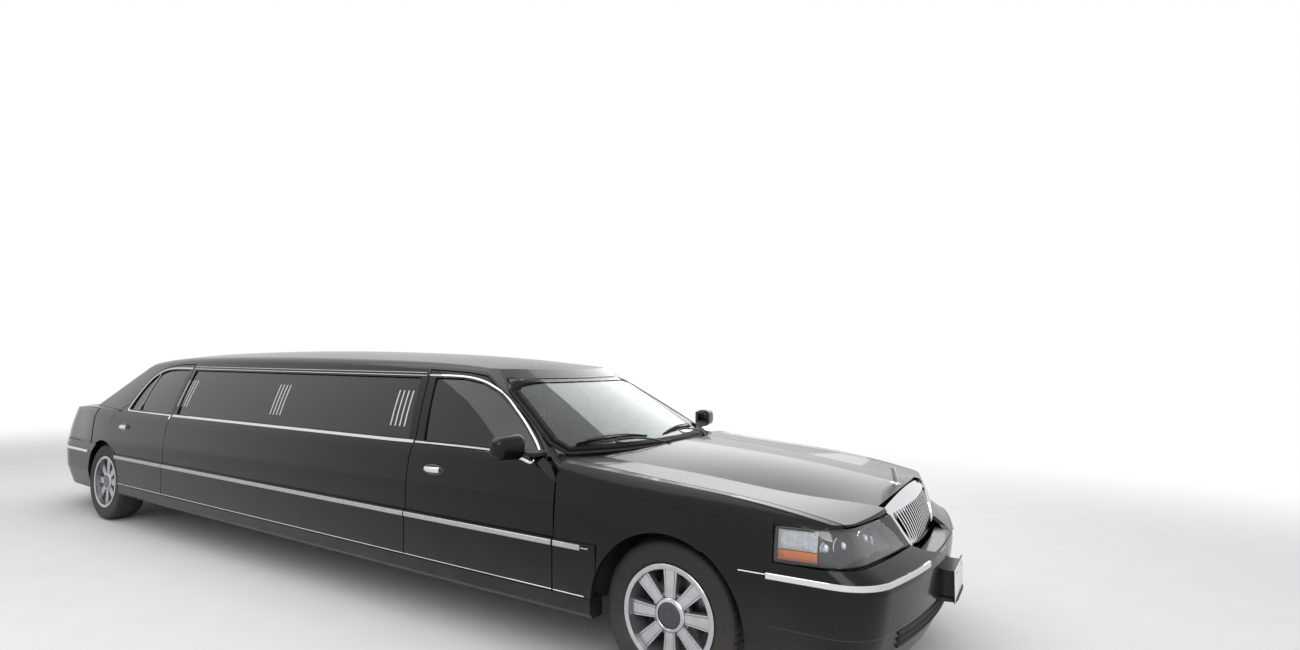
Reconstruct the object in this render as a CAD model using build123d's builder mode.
from build123d import *
import os
from math import cos, sin, radians, sqrt

os.makedirs("parts", exist_ok=True)

# Stretch limousine, in millimetres.
# +X points to the nose, +Y to the left-hand side, +Z up, and the ground is z = 0.

# Overall sizes
base_wheelbase = 2990
stretch = 3048
front_overhang = 1078
rear_overhang = 1421
plate_stand_off = 40
front_track = 1610
rear_track = 1666
wheelbase = base_wheelbase + stretch
front_axle = (wheelbase + rear_overhang - front_overhang - plate_stand_off) / 2
rear_axle = front_axle - wheelbase

# Wheels and tyres
tyre_radius = 351
tyre_width = 225
rim_radius = 226
rim_lip = 236
rim_width = 196
rim_barrel = 14
hub_radius = 78
spindle_radius = 24
running_clearance = 0.05
spoke_count = 8
arch_radius = 388
wheelhouse_radius = 440
wheelhouse_wall = 12
house_edge = 882
front_wheelhouse_y = 500
rear_wheelhouse_y = 660

# Seams between the body panels
front_seam = front_axle - 620
middle_seam = front_axle - 1750
rear_door_seam = rear_axle + 1218
rear_seam = rear_axle + 178
seam_lean = 150
door_gap = 7.5
panel_gap = 4
seat_gap = 0.3
pillar_gap = 1.5

# Heights
floor_bottom = 262
floor_top = 290
sill_bottom = 272
sill_top = 369
door_bottom = 376
strip_bottom = 590
strip_top = 634
belt = 1014
frame_top = 1450

# Thicknesses
wall = 70
frame_wall = 38
skin = 24
hood_skin = 15
pane = 5
pane_depth = 10

# Half section of the body side below the belt, as (y, z)
side_low = (980, door_bottom)
side_clad = (987, strip_bottom)
side_strip = (987, strip_top)
side_step = (975, strip_top + 2)
side_middle = (979, 775)
side_shoulder = (965, 912)
side_turn = (953, 968)
side_belt = (928, belt)


def draw_half(start, steps, side):
    """Draws lines and arcs through (y, z) points; a step of two points is an arc."""
    here = (start[0] * side, start[1])
    for step in steps:
        there = (step[-1][0] * side, step[-1][1])
        if len(step) == 2:
            ThreePointArc(here, (step[0][0] * side, step[0][1]), there)
        else:
            Line(here, there)
        here = there


def block(low, high):
    """A box between two opposite corners."""
    size = [h - l for l, h in zip(low, high)]
    middle = [(h + l) / 2 for l, h in zip(low, high)]
    return Pos(*middle) * Box(*size)


def side_cutter(points, y_low, y_high, grow=0):
    """A prism with its outline in the side view, (x, z), between two distances across."""
    with BuildPart() as cutter:
        with BuildSketch(Plane.XZ.offset(-y_high)):
            with BuildLine():
                Polyline(*points, close=True)
            make_face()
            if grow != 0:
                offset(amount=grow, kind=Kind.INTERSECTION)
        extrude(amount=y_high - y_low)
    return cutter.part


def front_cutter(outlines, x_low, x_high):
    """Prisms with their outlines in the front view, (y, z), between two stations."""
    with BuildPart() as cutter:
        with BuildSketch(Plane.YZ.offset(x_low)):
            for points in outlines:
                with BuildLine():
                    Polyline(*points, close=True)
                make_face()
        extrude(amount=x_high - x_low)
    return cutter.part


def drum(x, radius, y_low, y_high):
    """A cylinder across the car round an axle's centre line."""
    with BuildPart() as shape:
        with BuildSketch(Plane.XZ.offset(-y_high)):
            with Locations((x, tyre_radius)):
                Circle(radius)
        extrude(amount=y_high - y_low)
    return shape.part


def one(shape):
    """Keeps a result as one part, the largest solid first."""
    solids = sorted(shape.solids(), key=lambda s: -s.volume)
    return Part() + solids[0] if len(solids) > 0 else shape


def mirrored(shape):
    return mirror(shape, about=Plane.XZ)


# Front end: x from the front axle, side y, shoulder start, turn and end, hood edge z, crease y and z, centre z
front_rows = [
    (-780, 979, (965, 912), (953, 968), (925, 1010), 1012, 672, 1026, 1064),
    (-620, 979, (965, 912), (953, 966), (925, 1006), 1006, 655, 1012, 1053),
    (-200, 977, (958, 876), (942, 936), (902, 970), 966, 612, 974, 1028),
    (300, 968, (948, 832), (930, 898), (888, 930), 926, 560, 922, 986),
    (560, 950, (930, 790), (912, 862), (876, 894), 895, 515, 894, 953),
    (780, 922, (902, 745), (885, 818), (858, 850), 856, 465, 878, 915),
    (960, 890, (870, 700), (853, 772), (826, 808), 820, 440, 848, 874),
]
hood_edge_y = 826

# Tail: x from the rear axle, side y, shoulder start, turn and end, lid edge z, centre z
tail_rows = [
    (440, 979, (965, 912), (953, 968), (925, 1012), 1036, 1056),
    (180, 978, (964, 913), (952, 969), (922, 1018), 1042, 1062),
    (-100, 974, (960, 915), (946, 972), (915, 1026), 1048, 1066),
    (-450, 962, (946, 912), (931, 972), (898, 1026), 1050, 1068),
    (-800, 942, (924, 900), (908, 960), (875, 1012), 1034, 1056),
    (-1150, 915, (895, 870), (878, 930), (846, 980), 1004, 1030),
    (-1430, 888, (868, 830), (850, 890), (818, 940), 968, 996),
]
lid_edge_y = 700


def front_form(inset, top_inset, floor_z):
    """Fenders and hood as one form, inset all round for the inner side of the skin."""
    with BuildPart() as form:
        for x, side_y, shoulder, turn, end, edge_z, crease_y, crease_z, centre_z in front_rows:
            with BuildSketch(Plane.YZ.offset(front_axle + x)):
                low = (side_y - inset, floor_z)
                high = (0, centre_z - top_inset)
                bulge = (crease_y / 2, crease_z * 0.28 + centre_z * 0.72 - top_inset)
                with BuildLine():
                    for side in (1, -1):
                        draw_half(
                            low,
                            [
                                ((side_y - inset + 1, (floor_z + shoulder[1]) / 2), (shoulder[0] - inset, shoulder[1])),
                                ((turn[0] - inset, turn[1] - top_inset / 2), (end[0] - inset, end[1] - top_inset)),
                                ((hood_edge_y - inset, edge_z - top_inset),),
                                ((crease_y - inset, crease_z - top_inset),),
                                (bulge, high),
                            ],
                            side,
                        )
                    Line(low, (-low[0], low[1]))
                make_face()
        loft()
    return form.part


def tail_form(inset, top_inset, floor_z):
    """Quarter panels and trunk lid as one form."""
    with BuildPart() as form:
        for x, side_y, shoulder, turn, end, edge_z, centre_z in tail_rows:
            with BuildSketch(Plane.YZ.offset(rear_axle + x)):
                low = (side_y - inset, floor_z)
                edge = (lid_edge_y - inset, edge_z - top_inset)
                with BuildLine():
                    for side in (1, -1):
                        draw_half(
                            low,
                            [
                                ((side_y - inset + 1, (floor_z + shoulder[1]) / 2), (shoulder[0] - inset, shoulder[1])),
                                ((turn[0] - inset, turn[1] - top_inset / 2), (end[0] - inset, end[1] - top_inset)),
                                (edge,),
                            ],
                            side,
                        )
                    ThreePointArc(edge, (0, centre_z - top_inset), (-edge[0], edge[1]))
                    Line(low, (-low[0], low[1]))
                make_face()
        loft()
    return form.part


# Plan outlines: z, side y at the wheel, corner start (x, y), corner end (x, y), nose x; x from the front axle
nose_rows = [
    (640, 957, (707, 931), (876, 790), 984),
    (740, 950, (690, 922), (858, 778), 966),
    (845, 938, (655, 905), (822, 755), 922),
    (960, 922, (600, 875), (760, 722), 850),
    (1100, 900, (540, 836), (690, 680), 765),
]
bumper_rows = [
    (236, 900, (690, 878), (872, 728), 990),
    (330, 936, (730, 912), (915, 755), 1036),
    (420, 950, (748, 928), (940, 768), 1056),
    (596, 960, (765, 934), (962, 776), front_overhang),
    (640, 957, (765, 932), (960, 775), front_overhang),
    (688, 954, (707, 931), (880, 790), 988),
]
# Plan outlines at the tail: z, side y at the wheel, corner start, corner middle, corner end, turn middle,
# turn end, tail x; x is measured back from the rear axle
tail_plan_rows = [
    (640, 960, (850, 930), (1118, 868), (1282, 765), (1340, 698), (1370, 600), 1402),
    (745, 957, (850, 924), (1108, 860), (1265, 758), (1322, 690), (1350, 598), 1382),
    (860, 950, (830, 910), (1072, 848), (1222, 744), (1278, 678), (1303, 590), 1334),
    (1000, 935, (795, 888), (1018, 826), (1160, 724), (1212, 658), (1236, 570), 1266),
    (1080, 925, (775, 872), (985, 810), (1120, 710), (1170, 644), (1192, 556), 1220),
]
rear_bumper_rows = [
    (250, 915, (800, 885), (1060, 825), (1215, 725), (1272, 660), (1300, 575), 1335),
    (420, 952, (850, 925), (1115, 865), (1280, 760), (1340, 695), (1370, 600), 1404),
    (600, 962, (855, 934), (1125, 875), (1295, 770), (1355, 705), (1388, 605), rear_overhang),
    (645, 960, (855, 932), (1124, 874), (1294, 769), (1354, 704), (1386, 604), rear_overhang - 2),
    (690, 958, (850, 928), (1115, 865), (1276, 762), (1334, 695), (1364, 600), 1397),
]


def nose_form(rows, inset, start, ruled):
    """A stack of plan outlines round the nose, from x = start forward."""
    with BuildPart() as form:
        for z, wheel_y, turn, corner, nose in rows:
            with BuildSketch(Plane.XY.offset(z)):
                with BuildLine():
                    ends = []
                    for side in (1, -1):
                        back = (front_axle + start, (wheel_y - inset) * side)
                        a = (front_axle + turn[0], (turn[1] - inset) * side)
                        b = (front_axle + corner[0] - inset * 0.9, (corner[1] - inset * 0.4) * side)
                        middle = (front_axle + (nose - inset) * 0.735 + (corner[0] - inset) * 0.265, b[1] / 2)
                        Line(back, a)
                        heading = (a[0] - back[0], a[1] - back[1])
                        TangentArc(a, b, tangent=heading)
                        ThreePointArc(b, middle, (front_axle + nose - inset, 0))
                        ends.append(back)
                    Line(ends[0], ends[1])
                make_face()
        loft(ruled=ruled)
    return form.part


def rump_form(rows, inset, start, ruled):
    """A stack of plan outlines round the tail, from x = start back."""
    with BuildPart() as form:
        for z, wheel_y, turn, swell, corner, bend, rear, tail in rows:
            with BuildSketch(Plane.XY.offset(z)):
                with BuildLine():
                    ends = []
                    for side in (1, -1):
                        back = (rear_axle + start, (wheel_y - inset) * side)
                        points = [
                            (rear_axle - x + inset * drop, (y - inset * (1 - drop * 0.6)) * side)
                            for (x, y), drop in ((turn, 0.05), (swell, 0.3), (corner, 0.6), (bend, 0.8), (rear, 0.95))
                        ]
                        last = (rear_axle - tail + inset, 0)
                        middle = (last[0] * 0.74 + points[4][0] * 0.26, points[4][1] / 2)
                        Line(back, points[0])
                        ThreePointArc(points[0], points[1], points[2])
                        ThreePointArc(points[2], points[3], points[4])
                        ThreePointArc(points[4], middle, last)
                        ends.append(back)
                    Line(ends[0], ends[1])
                make_face()
        loft(ruled=ruled)
    return form.part


# Greenhouse: x, belt y, rail (y, z), roof shoulder (y, z), crown z
cabin_rows = [
    (front_axle - 480, 868, (610, 1430), (510, 1466), 1490),
    (front_axle - 1250, 912, (650, 1398), (545, 1430), 1450),
    (front_axle - 1560, 922, (671, 1444), (572, 1480), 1504),
    (front_axle - 1900, 928, (683, 1458), (590, 1502), 1536),
    (front_axle - 2500, 930, (683, 1461), (590, 1518), 1564),
    (front_axle - 3800, 930, (683, 1462), (590, 1528), 1584),
    (rear_axle + 1100, 930, (683, 1460), (590, 1518), 1568),
    (rear_axle + 440, 918, (668, 1436), (575, 1492), 1538),
    (rear_axle - 80, 894, (640, 1390), (548, 1434), 1470),
    (rear_axle - 760, 842, (590, 1330), (490, 1368), 1398),
]
cabin_floor = 1002


def cabin_form(inset):
    """Roof, pillars and door frames as one form with leaning sides."""
    with BuildPart() as form:
        for x, belt_y, rail, shoulder, crown in cabin_rows:
            with BuildSketch(Plane.YZ.offset(x)):
                low = (belt_y - inset, cabin_floor - inset)
                lean = ((belt_y + rail[0]) / 2 + 11 - inset, (cabin_floor + rail[1]) / 2)
                top = (rail[0] - inset, rail[1] - inset * 0.6)
                edge = (shoulder[0] - inset * 0.6, shoulder[1] - inset)
                turn = ((rail[0] + shoulder[0]) / 2 + 12 - inset * 0.8, (rail[1] + shoulder[1]) / 2 + 9 - inset * 0.8)
                with BuildLine():
                    for side in (1, -1):
                        draw_half(low, [(lean, top), (turn, edge)], side)
                    ThreePointArc(edge, (0, crown - inset), (-edge[0], edge[1]))
                    Line(low, (-low[0], low[1]))
                make_face()
        loft()
    return form.part


# Screens: base point and header point on the centre line, and the bow radius across
windshield_base = (front_axle - 450, 1035)
windshield_head = (front_axle - 1225, 1436)
windshield_bow = 2600
rear_screen_base = (rear_axle - 790, 1045)
rear_screen_head = (rear_axle - 40, 1452)
rear_screen_bow = 2600
screen_lead = 1400
screen_half = 1300
screen_reach = 6500


def screen_space(base, head, bow, depth):
    """The space under a screen that slopes from base to head and bows across the car."""
    run = Vector(head[0] - base[0], 0, head[1] - base[1]).normalized()
    across = Vector(0, 1 if run.X < 0 else -1, 0)
    down = run.cross(across)
    start = Vector(base[0], 0, base[1]) + down * depth - run * screen_lead
    sag = screen_half**2 / (2 * bow)
    with BuildPart() as space:
        with BuildSketch(Plane(origin=start, x_dir=across, z_dir=run)):
            with BuildLine():
                ThreePointArc((-screen_half, sag), (0, 0), (screen_half, sag))
                Polyline((screen_half, sag), (screen_half, screen_reach), (-screen_half, screen_reach), (-screen_half, sag))
            make_face()
        extrude(amount=screen_reach * 1.5)
    return space.part


def screen_outline(base, head, bow, base_half, head_half, lift, drop):
    """A prism square to the screen, narrower at the header, with rounded corners."""
    run = Vector(head[0] - base[0], 0, head[1] - base[1])
    length = run.length
    run = run.normalized()
    normal = run.cross(Vector(0, 1, 0))
    start = Vector(base[0], 0, base[1]) - normal * 400
    with BuildPart() as outline:
        with BuildSketch(Plane(origin=start, x_dir=Vector(0, 1, 0), z_dir=normal)) as face:
            with BuildLine():
                sign = 1 if Plane(origin=start, x_dir=Vector(0, 1, 0), z_dir=normal).y_dir.dot(run) > 0 else -1
                low, high = -lift * sign, (length + drop) * sign
                Polyline((-base_half, low), (base_half, low), (head_half, high), (-head_half, high), close=True)
            make_face()
            fillet(face.vertices(), 45)
        extrude(amount=900)
    return outline.part


def bowed_region(front_centre, front_corner, rear_x, half):
    """A region in plan that lies behind a bowed front edge."""
    with BuildPart() as region:
        with BuildSketch(Plane.XY.offset(500)):
            with BuildLine():
                left = (front_axle + front_corner, half)
                right = (front_axle + front_corner, -half)
                ThreePointArc(left, (front_axle + front_centre, 0), right)
                Polyline(right, (front_axle + rear_x, -half), (front_axle + rear_x, half), left)
            make_face()
        extrude(amount=900)
    return region.part


# Side wall below the belt, one constant section from the front door to the rear arch
def side_wall(x_low, x_high):
    with BuildPart() as panel:
        with BuildSketch(Plane.YZ.offset(x_low)):
            with BuildLine():
                Line(side_low, side_clad)
                Line(side_clad, side_strip)
                Line(side_strip, side_step)
                ThreePointArc(side_step, side_middle, side_shoulder)
                ThreePointArc(side_shoulder, side_turn, side_belt)
                inner_top = (side_belt[0] - frame_wall, belt)
                inner_bend = (side_low[0] - wall, belt - 90)
                inner_low = (side_low[0] - wall, door_bottom)
                Polyline(side_belt, inner_top, inner_bend, inner_low, side_low)
            make_face()
        extrude(amount=x_high - x_low)
    return panel.part


def arch_points(x, radius, low_z, high_z, ahead, steps):
    """Points along a wheel arch, from low_z up to high_z, on one side of the axle."""
    points = []
    for i in range(steps + 1):
        z = low_z + (high_z - low_z) * i / steps
        points.append((x + ahead * sqrt(radius**2 - (z - tyre_radius) ** 2), z))
    return points


half_gap = door_gap / 2
cabin = cabin_form(0)
cabin_inner = cabin_form(frame_wall)
glass_depth = 7
pillar_depth = 9
pillar_seam = 5.5
windshield_plane = (windshield_base, windshield_head, windshield_bow)
front_screen = screen_space(*windshield_plane, glass_depth)
behind_pillar = screen_space(*windshield_plane, glass_depth + pillar_depth)
behind_seam = screen_space(*windshield_plane, glass_depth + pillar_depth + pillar_seam)
rear_screen = screen_space(rear_screen_base, rear_screen_head, rear_screen_bow, glass_depth)
cabin_shell = (cabin - cabin_inner) & front_screen & rear_screen
cabin_shell = cabin_shell & block(
    (rear_axle - 900, -1000, cabin_floor), (front_axle - 400, 1000, 1700)
)

# Door outlines in the side view, front edge first, then over the top and down the rear
front_door_points = [
    (front_seam - door_gap, door_bottom),
    (front_seam - door_gap, belt - 12),
    (front_axle - 668, belt + 6),
    (front_axle - 915, 1172),
    (front_axle - 1085, 1300),
    (front_axle - 1235, 1378),
    (front_axle - 1370, 1410),
    (front_axle - 1560, frame_top - 14),
    (middle_seam - seam_lean + half_gap, frame_top),
    (middle_seam + half_gap, belt),
    (middle_seam + half_gap, door_bottom),
]
arch_edge = arch_points(rear_axle, arch_radius + 22, door_bottom, 748, 1, 6)
rear_door_points = [
    (rear_door_seam - half_gap, door_bottom),
    (rear_door_seam - half_gap, belt),
    (rear_door_seam - seam_lean - half_gap, frame_top),
    (rear_axle + 790, frame_top - 5),
    (rear_axle + 570, 1424),
    (rear_axle + 430, 1388),
    (rear_axle + 345, 1332),
    (rear_axle + 300, 1240),
    (rear_axle + 275, 1080),
    (rear_seam + half_gap, 1040),
    (rear_axle + 122, 900),
    (rear_axle + 116, 790),
] + list(reversed(arch_edge))

# Window openings inside the door frames
front_glass_points = [
    (front_axle - 838, belt + 20),
    (front_axle - 1002, 1148),
    (front_axle - 1155, 1252),
    (front_axle - 1295, 1334),
    (front_axle - 1425, 1380),
    (front_axle - 1590, 1404),
    (middle_seam - seam_lean + 80, 1404),
    (middle_seam + 62, belt + 24),
]
rear_glass_points = [
    (rear_door_seam - 62, belt + 24),
    (rear_door_seam - seam_lean - 45, 1404),
    (rear_axle + 760, 1404),
    (rear_axle + 590, 1392),
    (rear_axle + 470, 1360),
    (rear_axle + 395, 1310),
    (rear_axle + 355, 1220),
    (rear_axle + 335, 1085),
    (rear_axle + 335, belt + 24),
]
centre_glass_points = [
    (middle_seam - 70, belt + 24),
    (middle_seam - seam_lean - 52, 1404),
    (rear_door_seam - seam_lean + 72, 1404),
    (rear_door_seam + 54, belt + 24),
]



y_reach = 1100
y_start = 585
left_side = (y_start, y_reach)


def opening(points, grow):
    """The same cutter on both sides of the car."""
    cutter = side_cutter(points, *left_side, grow=grow)
    return cutter + mirrored(cutter)


# Doors: the lower box and the leaning frame as one piece, with the window cut
front_wall = side_wall(middle_seam, front_seam)
front_door = (front_wall + cabin_shell) & side_cutter(front_door_points, *left_side) & behind_seam
hood_corner = block((front_axle - 720, 500, 900), (front_axle - 600, 832, 1040))
front_door = one(front_door - side_cutter(front_glass_points, *left_side) - hood_corner)
rear_wall = side_wall(rear_axle + 80, rear_door_seam)
rear_door = (rear_wall + cabin_shell) & side_cutter(rear_door_points, *left_side)
rear_door = one(rear_door - side_cutter(rear_glass_points, *left_side))

# Side panel of the stretched part
side_panel = one(side_wall(rear_door_seam + half_gap, middle_seam - half_gap))

# Panes set into the frames
glass_layer = cabin_form(pane_depth) - cabin_form(pane_depth + pane)
front_door_glass = one(glass_layer & side_cutter(front_glass_points, *left_side, grow=-seat_gap))
rear_door_glass = one(glass_layer & side_cutter(rear_glass_points, *left_side, grow=-seat_gap))
centre_glass = one(glass_layer & side_cutter(centre_glass_points, *left_side, grow=-seat_gap))

# Roof with its pillars
front_top = front_form(-pillar_gap, -pillar_gap, 372)
tail_top = tail_form(-pillar_gap, -pillar_gap, 372)
roof = cabin_shell & block((rear_axle - 900, -1000, belt + seat_gap), (front_axle - 400, 1000, 1700))
pillar_strip = roof - behind_pillar
roof = roof - opening(front_door_points, door_gap) - opening(rear_door_points, door_gap)
roof = roof - opening(centre_glass_points, 0) + pillar_strip - front_top - tail_top
roof = one(roof - hood_corner - mirrored(hood_corner))

# Screens
screen_seat = glass_depth - seat_gap
windshield = screen_space(*windshield_plane, 0) - screen_space(*windshield_plane, screen_seat)
windshield = one(windshield & screen_outline(*windshield_plane, 955, 652, 175, 6))
rear_screen_pane = screen_space(rear_screen_base, rear_screen_head, rear_screen_bow, 0) - screen_space(
    rear_screen_base, rear_screen_head, rear_screen_bow, screen_seat
)
rear_screen_pane = rear_screen_pane & screen_outline(
    rear_screen_base, rear_screen_head, rear_screen_bow, 852, 622, 130, 6
)
rear_screen_pane = one(rear_screen_pane - tail_form(-panel_gap, -panel_gap, 372))

# Hood, with its rear edge bowed round the windshield and its front edge round the grille
hood_cut_y = hood_edge_y - half_gap
grille_half = 450
grille_corner = 840
grille_centre = 868
with BuildPart() as hood_outline:
    with BuildSketch(Plane.XY.offset(600)):
        with BuildLine():
            rear_corner = (front_axle - 676, hood_cut_y)
            far_corner = (front_axle - 676, -hood_cut_y)
            ThreePointArc(rear_corner, (front_axle - 404, 0), far_corner)
            Line(far_corner, (front_axle + 752, -hood_cut_y))
            Polyline(
                (front_axle + 752, -hood_cut_y),
                (front_axle + 1000, -hood_cut_y),
                (front_axle + 1000, -grille_half - door_gap),
                (front_axle + grille_corner, -grille_half - door_gap),
            )
            ThreePointArc(
                (front_axle + grille_corner, -grille_half - door_gap),
                (front_axle + grille_centre, 0),
                (front_axle + grille_corner, grille_half + door_gap),
            )
            Polyline(
                (front_axle + grille_corner, grille_half + door_gap),
                (front_axle + 1000, grille_half + door_gap),
                (front_axle + 1000, hood_cut_y),
                rear_corner,
            )
        make_face()
    extrude(amount=600)
nose_solid = nose_form(nose_rows, 0, 380, False)
nose_trim = block((front_axle + 400, -1100, 600), (front_axle + 1200, 1100, 1090)) - nose_solid
hood = (front_form(0, 0, 600) - front_form(0.5, hood_skin, 560)) & hood_outline.part
hood = hood - nose_trim & block((front_axle - 800, -1000, 760), (front_axle + 1100, 1000, 1200))
lamp_top = 838
lamp_space = block((front_axle + 500, grille_half, 600), (front_axle + 1200, 1000, lamp_top + door_gap))
hood = one(hood - lamp_space - mirrored(lamp_space))

# Front fenders
lamp_rear = front_axle + 520
lamp_bottom = 694
bumper_top = 688
fender = front_form(0, 0, 372) - front_form(skin, skin, 300)
with BuildPart() as cladding:
    with BuildSketch(Plane.YZ.offset(front_seam)):
        with BuildLine():
            Polyline(side_low, side_clad, side_strip, (955, strip_top), (955, door_bottom), close=True)
        make_face()
    extrude(amount=260)
fender = fender & block((front_seam, 600, 372), (front_axle + 1100, 1100, 1100))
fender = fender + cladding.part
fender = fender - block((front_axle - 2000, 0, 0), (front_axle + 2000, hood_edge_y + half_gap, 2000))
fender = fender - block((front_axle, 0, 0), (front_axle + 2000, 1200, lamp_bottom - panel_gap))
fender = fender - block((lamp_rear - seat_gap, 0, 0), (front_axle + 2000, 1200, lamp_top + seat_gap))
fender = fender - drum(front_axle, arch_radius, 300, 1200) - block((0, 0, 0), (front_axle + 1000, 1200, door_bottom))
fender = fender - (nose_trim & block((lamp_rear, 0, 0), (front_axle + 2000, 1200, 1090)))
fender = one(fender)

# Lamps, header panel and grille are cut from one nose skin
nose_skin = nose_solid - nose_form(nose_rows, 40, 380, False)
lamp_inner_top = 560
lamp_inner_bottom = 402
lamp_outline = [
    (lamp_inner_top, lamp_top),
    (lamp_inner_bottom, lamp_bottom),
    (1100, lamp_bottom),
    (1100, lamp_top),
]
headlamp = nose_skin & front_cutter([lamp_outline], lamp_rear, front_axle + 1100)
headlamp = one(headlamp)

# Half outlines of the shield and of its opening, as (y, z) from the top down
grille_bottom = 644
grille_base_half = 190
frame_width = 26
shield = [
    (grille_half, 1000),
    (grille_half, 862),
    (436, 822),
    (400, 756),
    (350, 698),
    (286, 662),
    (grille_base_half, grille_bottom),
]
shield_hole = [
    (402, 838),
    (412, 826),
    (408, 812),
    (374, 754),
    (330, 709),
    (275, 682),
    (186, 668),
]


def across(points):
    return points + [(-y, z) for y, z in reversed(points)]


# The shield's head is a plate that leans back, bowed across like the hood's edge
head_plane = ((front_axle + 925, 853), (front_axle + 870, 897), 2500)
head_thick = 24
nose_top = front_form(0, 0, 600) & screen_space(*head_plane, 0)
nose_top_inner = front_form(22, 22, 560) & screen_space(*head_plane, head_thick)
grille_skin = (nose_solid & nose_top) - (nose_form(nose_rows, 30, 380, False) & nose_top_inner)
hood_edge = bowed_region(grille_centre + door_gap, grille_corner + door_gap, 600, 600)
shield_space = front_cutter([across(shield)], front_axle + grille_corner - 20, front_axle + 1200) - hood_edge
hole_space = front_cutter([across(shield_hole)], front_axle + 700, front_axle + 1200)
grille_frame = (grille_skin & shield_space) - hole_space
bar_count = 20
bar_pitch = 2 * shield_hole[0][0] / (bar_count + 1)
bar_outlines = []
for i in range(bar_count):
    y_top = -(bar_count - 1) / 2 * bar_pitch + i * bar_pitch
    y_low = y_top * 0.72
    bar_outlines.append([(y_top - 7, 846), (y_top + 7, 846), (y_low + 6, 658), (y_low - 6, 658)])
bar_layer = nose_form(nose_rows, 7, 380, False) - nose_form(nose_rows, 22, 380, False)
bar_space = front_cutter([across([(y + 2, z + 2) for y, z in shield_hole])], front_axle + 700, front_axle + 1200)
bars = bar_layer & front_cutter(bar_outlines, front_axle + 700, front_axle + 1200) & bar_space
grille = one(grille_frame + bars)

panel_outline = [
    (lamp_inner_top - seat_gap, lamp_top),
    (lamp_inner_bottom - seat_gap, lamp_bottom),
    (lamp_inner_bottom - seat_gap, bumper_top + panel_gap),
]
header_panel = nose_skin & front_cutter([across(panel_outline)], front_axle + 700, front_axle + 1200)
header_panel = header_panel - front_cutter(
    [across([(y + seat_gap, z) for y, z in shield[:-1]] + [(grille_base_half, grille_bottom - 20)])],
    front_axle + 600,
    front_axle + 1200,
)

# Bumpers
bumper_skin = 30
bumper_end = 150


def stretched(rows):
    """The same outlines with the lowest and highest moved out, for a clean inner cut."""
    first, last = rows[0], rows[-1]
    return [(first[0] - 1, *first[1:]), *rows[1:-1], (last[0] + 1, *last[1:])]


front_bumper = nose_form(bumper_rows, 0, bumper_end, True) - nose_form(
    stretched(bumper_rows), bumper_skin, bumper_end - 50, True
)
front_bumper = front_bumper - drum(front_axle, arch_radius, -1200, 1200)
shield_gap = [(y + panel_gap, z - panel_gap) for y, z in shield]
front_bumper = front_bumper - front_cutter([across(shield_gap)], front_axle + 900, front_axle + 1200)
notch_floor = block((front_axle + 930, -380, grille_bottom - 4), (front_axle + 1062, 380, grille_bottom + 3))
notch_floor = notch_floor - nose_form(nose_rows, -panel_gap, bumper_end, False)
front_bumper = front_bumper + (notch_floor & nose_form(bumper_rows, 4, bumper_end, True))

rear_bumper = rump_form(rear_bumper_rows, 0, -bumper_end, True) - rump_form(
    stretched(rear_bumper_rows), bumper_skin, 50 - bumper_end, True
)
rear_bumper = rear_bumper - drum(rear_axle, arch_radius, -1200, 1200)

# Tail: quarter panels, trunk lid and tail lamps are cut from one skin
rump = rump_form(tail_plan_rows, 0, 300, False)
rump_inner = rump_form(tail_plan_rows, skin, 320, False)
rump_space = block((rear_axle - 250, -1200, 300), (rear_axle + 700, 1200, 1200))
tail_outer = tail_form(0, 0, 372) & (rump + rump_space)
tail_inner = tail_form(skin, skin, 300) & (rump_inner + block((rear_axle - 250, -1200, 200), (rear_axle + 700, 1200, 1200)))
tail_skin = tail_outer - tail_inner
lamp_low = 742
lamp_high = 932
tail_lamp_half = 470
tail_lamp_front = rear_axle - 1010
tail_bottom = 696
lid_front = rear_axle - 812
tail_lamp_space = block((rear_axle - 1500, tail_lamp_half, lamp_low), (tail_lamp_front, 1200, lamp_high))
tail_lamp = one(tail_skin & tail_lamp_space)
quarter = tail_skin - side_cutter(rear_door_points, *left_side, grow=door_gap)
quarter = quarter - drum(rear_axle, arch_radius, 300, 1200)
quarter = quarter & block((rear_axle - 1600, lid_edge_y + half_gap, door_bottom), (rear_axle + 440, 1200, 1200))
quarter = quarter - block((rear_axle - 1600, 0, 0), (rear_axle, 1200, tail_bottom))
quarter = quarter - block(
    (rear_axle - 1500, tail_lamp_half, lamp_low - seat_gap), (tail_lamp_front + seat_gap, 1200, lamp_high + seat_gap)
)
quarter = one(quarter)
trunk_lid = tail_outer - (tail_form(skin, hood_skin, 300) & rump_inner)
trunk_lid = trunk_lid & block(
    (rear_axle - 1600, -lid_edge_y + half_gap, tail_bottom + 4), (lid_front, lid_edge_y - half_gap, 1200)
)
lamp_clearance = block(
    (rear_axle - 1500, tail_lamp_half - door_gap, lamp_low - door_gap), (tail_lamp_front + door_gap, 1200, lamp_high + door_gap)
)
trunk_lid = one(trunk_lid - lamp_clearance - mirrored(lamp_clearance))


def tube(start, end, radius):
    """A round bar between two points."""
    run = Vector(*end) - Vector(*start)
    with BuildPart() as bar:
        with BuildSketch(Plane(origin=start, z_dir=run)):
            Circle(radius)
        extrude(amount=run.length)
    return bar.part


def side_pair(x_span, y_span, z_span):
    """Two boxes, left and right."""
    box = block((x_span[0], y_span[0], z_span[0]), (x_span[1], y_span[1], z_span[1]))
    return box + mirrored(box)


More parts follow.
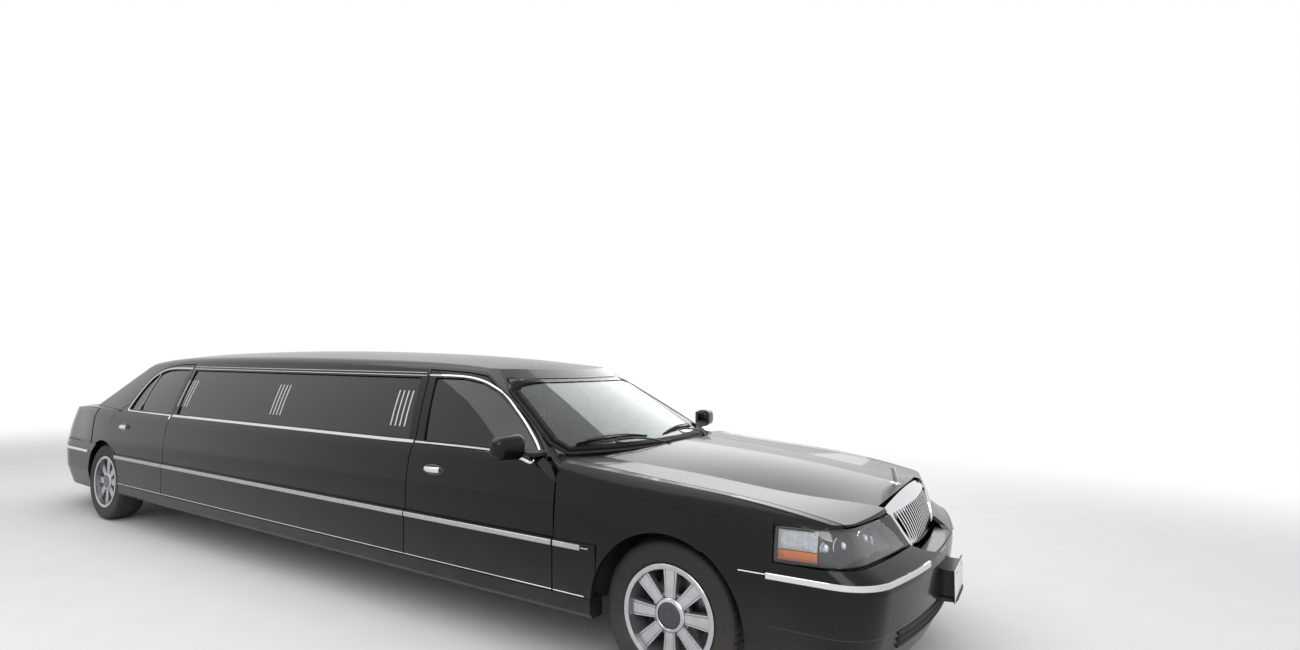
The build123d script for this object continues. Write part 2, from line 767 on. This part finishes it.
# Windshield's lower edge, and the cowl between it and the hood
cowl_depth = 36
cowl_half = 815
cowl_front = (-412, -686)
glass_front = (-438, -740)
windshield = one(windshield & bowed_region(*glass_front, -1700, 870))
above_glass = screen_space(windshield_base, windshield_head, windshield_bow, -60) - front_screen
cowl = front_form(6, 6, 600) - front_form(6, cowl_depth, 560)
cowl = cowl & bowed_region(*cowl_front, -790, cowl_half)
cowl = one(cowl - (above_glass & bowed_region(glass_front[0] + 3, glass_front[1] + 3, -1700, 870)))

# Body floor, each piece 0.3 mm from its neighbours: sills, floor pan, firewall with its posts and
# wheelhouses, trunk floor with its wheelhouses, and the rear bulkhead with its shelf
plate = 28
firewall_x = front_axle - 640
floor_half = 872
sill_inner = floor_half - 2
floor_inner = sill_inner - seat_gap
sill_section = [(sill_inner, sill_bottom), (946, sill_bottom), (971, 298), (976, sill_top), (sill_inner, sill_top)]
sill_end = arch_radius + 6
kick_x = rear_axle + 560
rear_floor = 502
tail_end = rear_axle - 1290
bulkhead_x = rear_axle - 60
shelf_top = 985
apron_y = (front_wheelhouse_y - wheelhouse_wall, front_wheelhouse_y)
post_x = (front_seam - door_gap + seat_gap, front_seam + 50)
pad_x = (front_axle - 625, front_axle - 585)
pad_z = 960

sill = front_cutter([sill_section], rear_axle + sill_end, front_axle - sill_end)
sills = sill + mirrored(sill)
# The guard reaches below the sills, so that nothing stands under their jacking faces
sill_guard = block(
    (rear_axle + sill_end - seat_gap, floor_inner, floor_bottom - 10),
    (front_axle - sill_end + seat_gap, 980, sill_top + seat_gap),
)
sill_guard = sill_guard + mirrored(sill_guard)
bulkhead_half = rear_wheelhouse_y - wheelhouse_wall - seat_gap
floor_pan = block(
    (kick_x + plate + seat_gap, -floor_inner, floor_bottom), (firewall_x - seat_gap, floor_inner, floor_top)
)
trunk_blocks = [
    ((kick_x, -floor_half, floor_bottom), (kick_x + plate, floor_half, rear_floor + plate)),
    ((tail_end, -rear_wheelhouse_y, rear_floor), (kick_x + plate, rear_wheelhouse_y, rear_floor + plate)),
    ((tail_end, -640, rear_floor), (tail_end + plate, 640, 680)),
]
bulkhead_blocks = [
    ((bulkhead_x - plate, -bulkhead_half, rear_floor + plate + seat_gap), (bulkhead_x, bulkhead_half, shelf_top)),
    ((lid_front + door_gap, -845, shelf_top - plate), (bulkhead_x, 845, shelf_top)),
]
firewall = block((firewall_x, -floor_half, floor_bottom), (firewall_x + plate, floor_half, 1040))
firewall = firewall & front_form(60, cowl_depth - 2, 100) & bowed_region(*cowl_front, -790, cowl_half)
firewall = firewall + block((firewall_x, -floor_half, floor_bottom), (firewall_x + plate, floor_half, pad_z - 60))
deck = tail_form(2, 2, 300) & rear_screen
deck = deck & block((lid_front + door_gap, -lid_edge_y, shelf_top - plate), (rear_axle - 700, lid_edge_y, 1100))
firewall = firewall + cowl
for x_span, y_span, z_span in [
    (post_x, (800, floor_half), (floor_bottom, 880)),
    (post_x, (sill_inner, 936), (sill_top - 2, 880)),
    ((firewall_x, pad_x[1]), (740, 790), (800, pad_z - seat_gap)),
    ((firewall_x, front_axle + 560), apron_y, (505, 760)),
]:
    firewall = firewall + side_pair(x_span, y_span, z_span)
rear_bulkhead = one(deck)
for low, high in bulkhead_blocks:
    rear_bulkhead = rear_bulkhead + block(low, high)
rear_bulkhead = rear_bulkhead + side_pair((lid_front - 70, lid_front + 20), (540, 640), (shelf_top - plate, shelf_top))
rear_bulkhead = one(rear_bulkhead)
foot_x = (rear_axle - 640, rear_axle - 560)
trunk_floor = side_pair(foot_x, (640, 900 - seat_gap), (rear_floor, rear_floor + plate))
trunk_floor = trunk_floor + side_pair(foot_x, (875, 900 - seat_gap), (rear_floor, 745))
for low, high in trunk_blocks:
    trunk_floor = trunk_floor + block(low, high)


def wheelhouse(x, inner_y, outer_y, wall_z):
    """A liner round a wheel, open below and outside."""
    outside = drum(x, wheelhouse_radius, inner_y - wheelhouse_wall, outer_y)
    shape = outside - drum(x, wheelhouse_radius - wheelhouse_wall, inner_y, outer_y + 1)
    shape = shape - block((x - 600, 0, 0), (x + 600, inner_y + 0.5, wall_z))
    return shape - block((x - 600, 0, 0), (x + 600, 1200, tyre_radius - 20))


rear_house = wheelhouse(rear_axle, rear_wheelhouse_y, house_edge, rear_floor) & tail_form(skin + 12, 60, 200)
front_house = wheelhouse(front_axle, front_wheelhouse_y, house_edge, tyre_radius) & front_form(skin + 22, 60, 200)
rear_house = one(rear_house)
front_house = one(front_house)
trunk_floor = one(trunk_floor + rear_house + mirrored(rear_house) - sill_guard)
firewall = one(firewall + front_house + mirrored(front_house) - sill_guard)

# Feet of the outer panels, the hinge blocks behind them, and the hood's and lid's pads
side_panel = side_panel + block(
    (rear_door_seam + half_gap, 912, sill_top + seat_gap), (middle_seam - half_gap, 948, door_bottom + 2)
)
for z_low in (470, 800):
    side_panel = side_panel + block(
        (rear_door_seam - half_gap + seat_gap, 912, z_low), (rear_door_seam + half_gap + 20, 938, z_low + 90)
    )
side_panel = one(side_panel)
fender = one(fender + block((front_seam + 2, 957, sill_top + seat_gap), (front_axle - sill_end - 2, 974, door_bottom + 2)))
quarter = one(quarter + block((rear_axle - 640, 900, tail_bottom + 4), (rear_axle - 560, 936, 745)))
hood_pads = side_pair(pad_x, (740, 790), (pad_z, 1100)) & front_form(3, 3, 560)
hood = one(hood + hood_pads)
lid_pads = side_pair((lid_front - 60, lid_front - 15), (560, 620), (shelf_top + seat_gap, 1100)) & tail_form(3, 3, 372)
trunk_lid = one(trunk_lid + lid_pads)

# Chassis frame: two rails that kick up over the axles, cross plates and bumper beams
rail_y = (380, 450)
rail_low = (178, floor_bottom - seat_gap)
rail_high = (420, rear_floor - seat_gap)
front_beam_x = front_axle + 880
rear_beam_x = rear_axle - 1255
beam = 50
rail_path = [
    (front_beam_x, rail_high[0]),
    (front_axle - 330, rail_high[0]),
    (front_axle - 590, rail_low[0]),
    (kick_x + 60, rail_low[0]),
    (rear_axle + 330, rail_high[0]),
    (rear_axle - 480, rail_high[0]),
    (rear_axle - 640, 380),
    (rear_beam_x, 380),
    (rear_beam_x, 458),
    (rear_axle - 620, 458),
    (rear_axle - 460, rail_high[1]),
    (rear_axle + 350, rail_high[1]),
    (kick_x - 20, rail_low[1] + 60),
    (kick_x - 20, rail_low[1]),
    (front_axle - 606, rail_low[1]),
    (front_axle - 350, rail_high[1]),
    (front_beam_x, rail_high[1]),
]
rail = side_cutter(rail_path, *rail_y)
chassis_frame = rail + mirrored(rail)
brace_count = 5
brace_start = kick_x + 200
brace_pitch = (front_axle - 800 - brace_start) / (brace_count - 1)
cross_blocks = [
    ((front_beam_x - 2, -560, rail_high[0]), (front_beam_x + beam, 560, rail_high[1])),
    ((rear_beam_x - beam, -560, 380), (rear_beam_x + 2, 560, 458)),
    ((front_axle + 560, -rail_y[1], 426), (front_axle + 630, rail_y[1], 490)),
    ((rear_axle - 430, -rail_y[1], 450), (rear_axle - 360, rail_y[1], 495)),
]
for i in range(brace_count):
    x = brace_start + i * brace_pitch
    cross_blocks.append(((x, -rail_y[1], rail_low[0]), (x + 90, rail_y[1], rail_low[0] + 16)))
for low, high in cross_blocks:
    chassis_frame = chassis_frame + block(low, high)
chassis_frame = one(chassis_frame)

# Bosses that meet the beams, and the plate bracket with its two screw holes
plate_width = 305
plate_height = 155
plate_thick = 4
plate_low = 396
plate_holes = 178
plate_hole_radius = 3.5
plate_face = front_axle + front_overhang + plate_stand_off
plate_hole_z = plate_low + plate_height - 22
front_boss = side_pair((front_beam_x + beam + seat_gap, front_axle + 1060), (300, 380), (430, 488))
front_bumper = front_bumper + (front_boss & nose_form(bumper_rows, 4, bumper_end, True))
rear_boss = side_pair((rear_axle - 1400, rear_beam_x - beam - seat_gap), (300, 380), (390, 450))
rear_bumper = rear_bumper + (rear_boss & rump_form(rear_bumper_rows, 4, -bumper_end, True))
bracket = block((front_axle + 1040, -120, plate_low + 8), (plate_face, 120, plate_low + plate_height - 12))
bracket = bracket + block(
    (plate_face - plate_thick, -plate_width / 2, plate_low), (plate_face, plate_width / 2, plate_low + plate_height)
)
front_bumper = front_bumper + (bracket - nose_form(bumper_rows, 6, bumper_end, True))
with BuildPart() as plate_drill:
    with BuildSketch(Plane.YZ.offset(plate_face - 30)):
        with Locations((-plate_holes / 2, plate_hole_z), (plate_holes / 2, plate_hole_z)):
            Circle(plate_hole_radius)
    extrude(amount=40)
front_bumper = one(front_bumper - plate_drill.part)
rear_bumper = one(rear_bumper)

# Nose support: posts on the front beam that carry the header panel and the grille
post = (front_beam_x + 2, front_beam_x + 25)
support = side_pair(post, (300, 396), (rail_high[1] + seat_gap, 712))
support = support + block((post[0], -396, 600), (post[1], 396, 630))
support = support + (
    block((post[0], -200, 606), (front_axle + 968, 200, grille_bottom - seat_gap)) & nose_form(nose_rows, 8, 380, False)
)
support = support + (side_pair((post[0], front_axle + 960), (374, 396), (696, 712)) & nose_form(nose_rows, 8, 380, False))
shield_guard = front_cutter([across([(y + seat_gap, z - seat_gap) for y, z in shield])], front_axle + 700, front_axle + 1200)
support = support - shield_guard
lamp_guard = front_cutter([[(y - 1, z) for y, z in lamp_outline]], front_axle + 500, front_axle + 1200)
header_panel = header_panel + (support - lamp_guard - mirrored(lamp_guard))
header_panel = one(header_panel)

# Powertrain, tank and exhaust
front_wheel_y = front_track / 2
rear_wheel_y = rear_track / 2
shaft_z = 228
gearbox_rear = front_axle - 611
engine = block((front_axle - 330, -290, 300), (front_axle + 330, 290, 790))
engine = engine + block((gearbox_rear, -130, 205), (front_axle - 330, 130, 480))
radiator = block((front_axle + 700, -425, rail_high[1] + seat_gap), (front_axle + 745, 425, 815))
driveline = tube((gearbox_rear - seat_gap, 0, shaft_z), (rear_axle + 140, 0, shaft_z), 31)
driveline = driveline + block((rear_axle - 120, -110, 215), (rear_axle + 150, 110, 430))
driveline = driveline + tube(
    (rear_axle, 90 - rear_wheel_y, tyre_radius), (rear_axle, rear_wheel_y - 90, tyre_radius), 38
)
driveline = driveline + tube(
    (rear_axle, -rear_wheel_y - 40, tyre_radius), (rear_axle, rear_wheel_y + 40, tyre_radius), spindle_radius
)
spring = tube((rear_axle, 415, tyre_radius), (rear_axle, 415, rail_high[0] - seat_gap), 55)
driveline = one(driveline + spring + mirrored(spring))

front_suspension = block((front_axle - 70, -450, 225), (front_axle + 70, 450, 300 - seat_gap))
front_suspension = front_suspension + side_pair(
    (front_axle - 70, front_axle + 70), (380, 450), (290, rail_high[0] - seat_gap)
)
front_suspension = front_suspension + side_pair((front_axle - 38, front_axle + 38), (400, 742), (250, 282))
damper = tube((front_axle, 560, 270), (front_axle, 560, 700), 42)
front_suspension = one(front_suspension + damper + mirrored(damper))

knuckle = block((front_axle - 34, 712, 282 + seat_gap), (front_axle + 34, 752, 490))
knuckle = one(
    knuckle
    + tube((front_axle, 730, tyre_radius), (front_axle, front_wheel_y + 40, tyre_radius), spindle_radius)
)

pipe_z = floor_bottom - seat_gap - 24
pipe = tube((kick_x + 500, 230, pipe_z), (front_axle - 700, 230, pipe_z), 22)
pipe = pipe + block((kick_x + 120, 160, 200), (kick_x + 560, 330, floor_bottom - seat_gap))
exhaust = pipe + mirrored(pipe)
fuel_tank = block((rear_axle - 1080, -370, 300), (rear_axle - 650, 370, rear_floor - seat_gap))

# Wheels, turned and cut round their own centre
rim_edge = rim_width / 2
hub_face = rim_edge - 14
disc_back = -30


def turned(points, arcs=()):
    """A ring or disc turned round the Y axis from (radius, y) points."""
    with BuildPart() as shape:
        with BuildSketch(Plane.XY):
            with BuildLine():
                Polyline(*points, close=len(arcs) == 0)
                for arc in arcs:
                    ThreePointArc(*arc)
            make_face()
        revolve(axis=Axis.Y)
    return shape.part


bead = rim_radius + seat_gap
half_tyre = tyre_width / 2
shoulder = (tyre_radius - 9, half_tyre - 22)
tyre = turned(
    [
        (shoulder[0], -shoulder[1]),
        (326, 6 - half_tyre),
        (290, -half_tyre),
        (243, -104),
        (238, -100),
        (bead, -93),
        (bead, 93),
        (238, 100),
        (243, 104),
        (290, half_tyre),
        (326, half_tyre - 6),
        shoulder,
    ],
    [((shoulder[0], -shoulder[1]), (tyre_radius, 0), shoulder)],
)
barrel = rim_radius - rim_barrel
rim = turned(
    [
        (rim_radius, 3 - rim_edge),
        (rim_radius, rim_edge - 3),
        (rim_lip, rim_edge + 3.5),
        (rim_lip, rim_edge + 8),
        (barrel, rim_edge + 8),
        (barrel, rim_edge - 6),
        (barrel - 16, 0),
        (barrel, -rim_edge - 8),
        (rim_lip, -rim_edge - 8),
        (rim_lip, -rim_edge - 3.5),
    ]
)
rim = rim + turned(
    [
        (0, disc_back),
        (150, disc_back),
        (150, disc_back + 22),
        (62, disc_back + 22),
        (62, 48),
        (hub_radius, 48),
        (hub_radius, hub_face - 10),
        (hub_radius - 8, hub_face),
        (0, hub_face),
    ]
)
with BuildPart() as spokes:
    with BuildSketch(Plane.XZ.offset(-50)):
        with PolarLocations(0, spoke_count):
            Polygon((60, -25), (205, -37), (222, -34), (222, 34), (205, 37), (60, 25), align=None)
    extrude(amount=-30)
rim = rim + spokes.part
rim = one(rim - tube((0, disc_back - 2, 0), (0, 43, 0), spindle_radius + running_clearance))

# Interior: dashboard with the column bore, steering wheel and seats
dash_points = [
    (firewall_x - seat_gap, 640),
    (firewall_x - seat_gap, 955),
    (front_axle - 900, 955),
    (front_axle - 1040, 880),
    (front_axle - 1020, 700),
    (front_axle - 900, 640),
]
dashboard = side_cutter(dash_points, -855, 855)
column_tilt = radians(25)
column = Vector(cos(column_tilt), 0, -sin(column_tilt))
wheel_centre = Vector(front_axle - 1240, 400, 900)
column_end = wheel_centre + column * 260
column_radius = 14
bore = tube(tuple(wheel_centre), tuple(column_end + column * 4), column_radius + running_clearance)
dashboard = one(dashboard - bore)
wheel_plane = Plane(origin=wheel_centre, x_dir=(0, 1, 0), z_dir=column)
with BuildPart() as steering:
    with Locations(wheel_plane):
        Torus(185, 14)
        Cylinder(48, 44)
        Box(370, 44, 14)
    with BuildSketch(wheel_plane):
        Circle(column_radius)
    extrude(amount=260)
steering_wheel = one(steering.part)


front_seat_points = [
    (front_axle - 1340, 420),
    (front_axle - 1330, 560),
    (front_axle - 1760, 520),
    (front_axle - 1860, 1120),
    (front_axle - 1960, 1110),
    (front_axle - 1900, 420),
]
front_seats = side_cutter(front_seat_points, 140, 660)
front_seats = front_seats + block((front_axle - 1850, 220, floor_top + seat_gap), (front_axle - 1400, 580, 425))
front_seats = front_seats + mirrored(front_seats)
rear_seat_points = [
    (rear_axle + 600, rear_floor + plate + seat_gap),
    (rear_axle + 610, 700),
    (rear_axle + 180, 665),
    (rear_axle + 60, 1080),
    (rear_axle - 45, 1080),
    (rear_axle - 40, rear_floor + plate + seat_gap),
]
rear_seat = side_cutter(rear_seat_points, -630, 630)
lounge_seat = front_cutter(
    [[(420, floor_top + seat_gap), (420, 680), (740, 650), (780, 960), (860, 960), (860, floor_top + seat_gap)]],
    rear_axle + 1400,
    front_axle - 2250,
)

# Door mirrors: a wedge-shaped housing on a foot at the window's front corner
foot_span = (front_axle - 840, front_axle - 770)
mirror_x = front_axle - 814
with BuildPart() as housing:
    with BuildSketch(Plane.XZ.offset(-1026)):
        with Locations((mirror_x, 1078)):
            RectangleRounded(112, 134, 28)
    with BuildSketch(Plane.XZ.offset(-1205)):
        with Locations((mirror_x - 16, 1084)):
            RectangleRounded(72, 104, 24)
    loft()
mirror_left = housing.part + block((foot_span[0], 985, 1018), (foot_span[1], 1075, 1046))
mirror_left = mirror_left + block((foot_span[0], 872, 1018), (foot_span[1], 1000, 1037))
mirror_left = one(mirror_left - front_door)

# Every piece is written once; pairs on one body share a node
pieces = {
    "floor_pan": floor_pan,
    "sills": sills,
    "firewall": firewall,
    "trunk_floor": trunk_floor,
    "rear_bulkhead": rear_bulkhead,
    "chassis_frame": chassis_frame,
    "front_suspension": front_suspension,
    "driveline": driveline,
    "exhaust": exhaust,
    "fuel_tank": fuel_tank,
    "engine": engine,
    "radiator": radiator,
    "side_panels": side_panel + mirrored(side_panel),
    "front_fenders": fender + mirrored(fender),
    "quarter_panels": quarter + mirrored(quarter),
    "roof": roof,
    "windshield": windshield,
    "rear_window": rear_screen_pane,
    "side_glass": centre_glass + mirrored(centre_glass),
    "headlamps": headlamp + mirrored(headlamp),
    "tail_lamps": tail_lamp + mirrored(tail_lamp),
    "header_panel": header_panel,
    "grille": grille,
    "front_bumper": front_bumper,
    "rear_bumper": rear_bumper,
    "dashboard": dashboard,
    "front_seats": front_seats,
    "rear_seat": rear_seat,
    "lounge_seat": lounge_seat,
    "hood": hood,
    "trunk_lid": trunk_lid,
    "steering_wheel": steering_wheel,
}
handed = {
    "front_door": front_door,
    "rear_door": rear_door,
    "front_door_glass": front_door_glass,
    "rear_door_glass": rear_door_glass,
    "mirror": mirror_left,
    "knuckle": knuckle,
    "front_tyre": Pos(front_axle, front_wheel_y, tyre_radius) * tyre,
    "front_rim": Pos(front_axle, front_wheel_y, tyre_radius) * rim,
    "rear_tyre": Pos(rear_axle, rear_wheel_y, tyre_radius) * tyre,
    "rear_rim": Pos(rear_axle, rear_wheel_y, tyre_radius) * rim,
}
for name, shape in handed.items():
    pieces[name + "_left"] = shape
    pieces[name + "_right"] = mirrored(shape)

for name, shape in pieces.items():
    part = Part() + shape
    part.label = name
    export_step(part, "parts/" + name + ".step")
    print(name, len(part.solids()), round(part.volume))
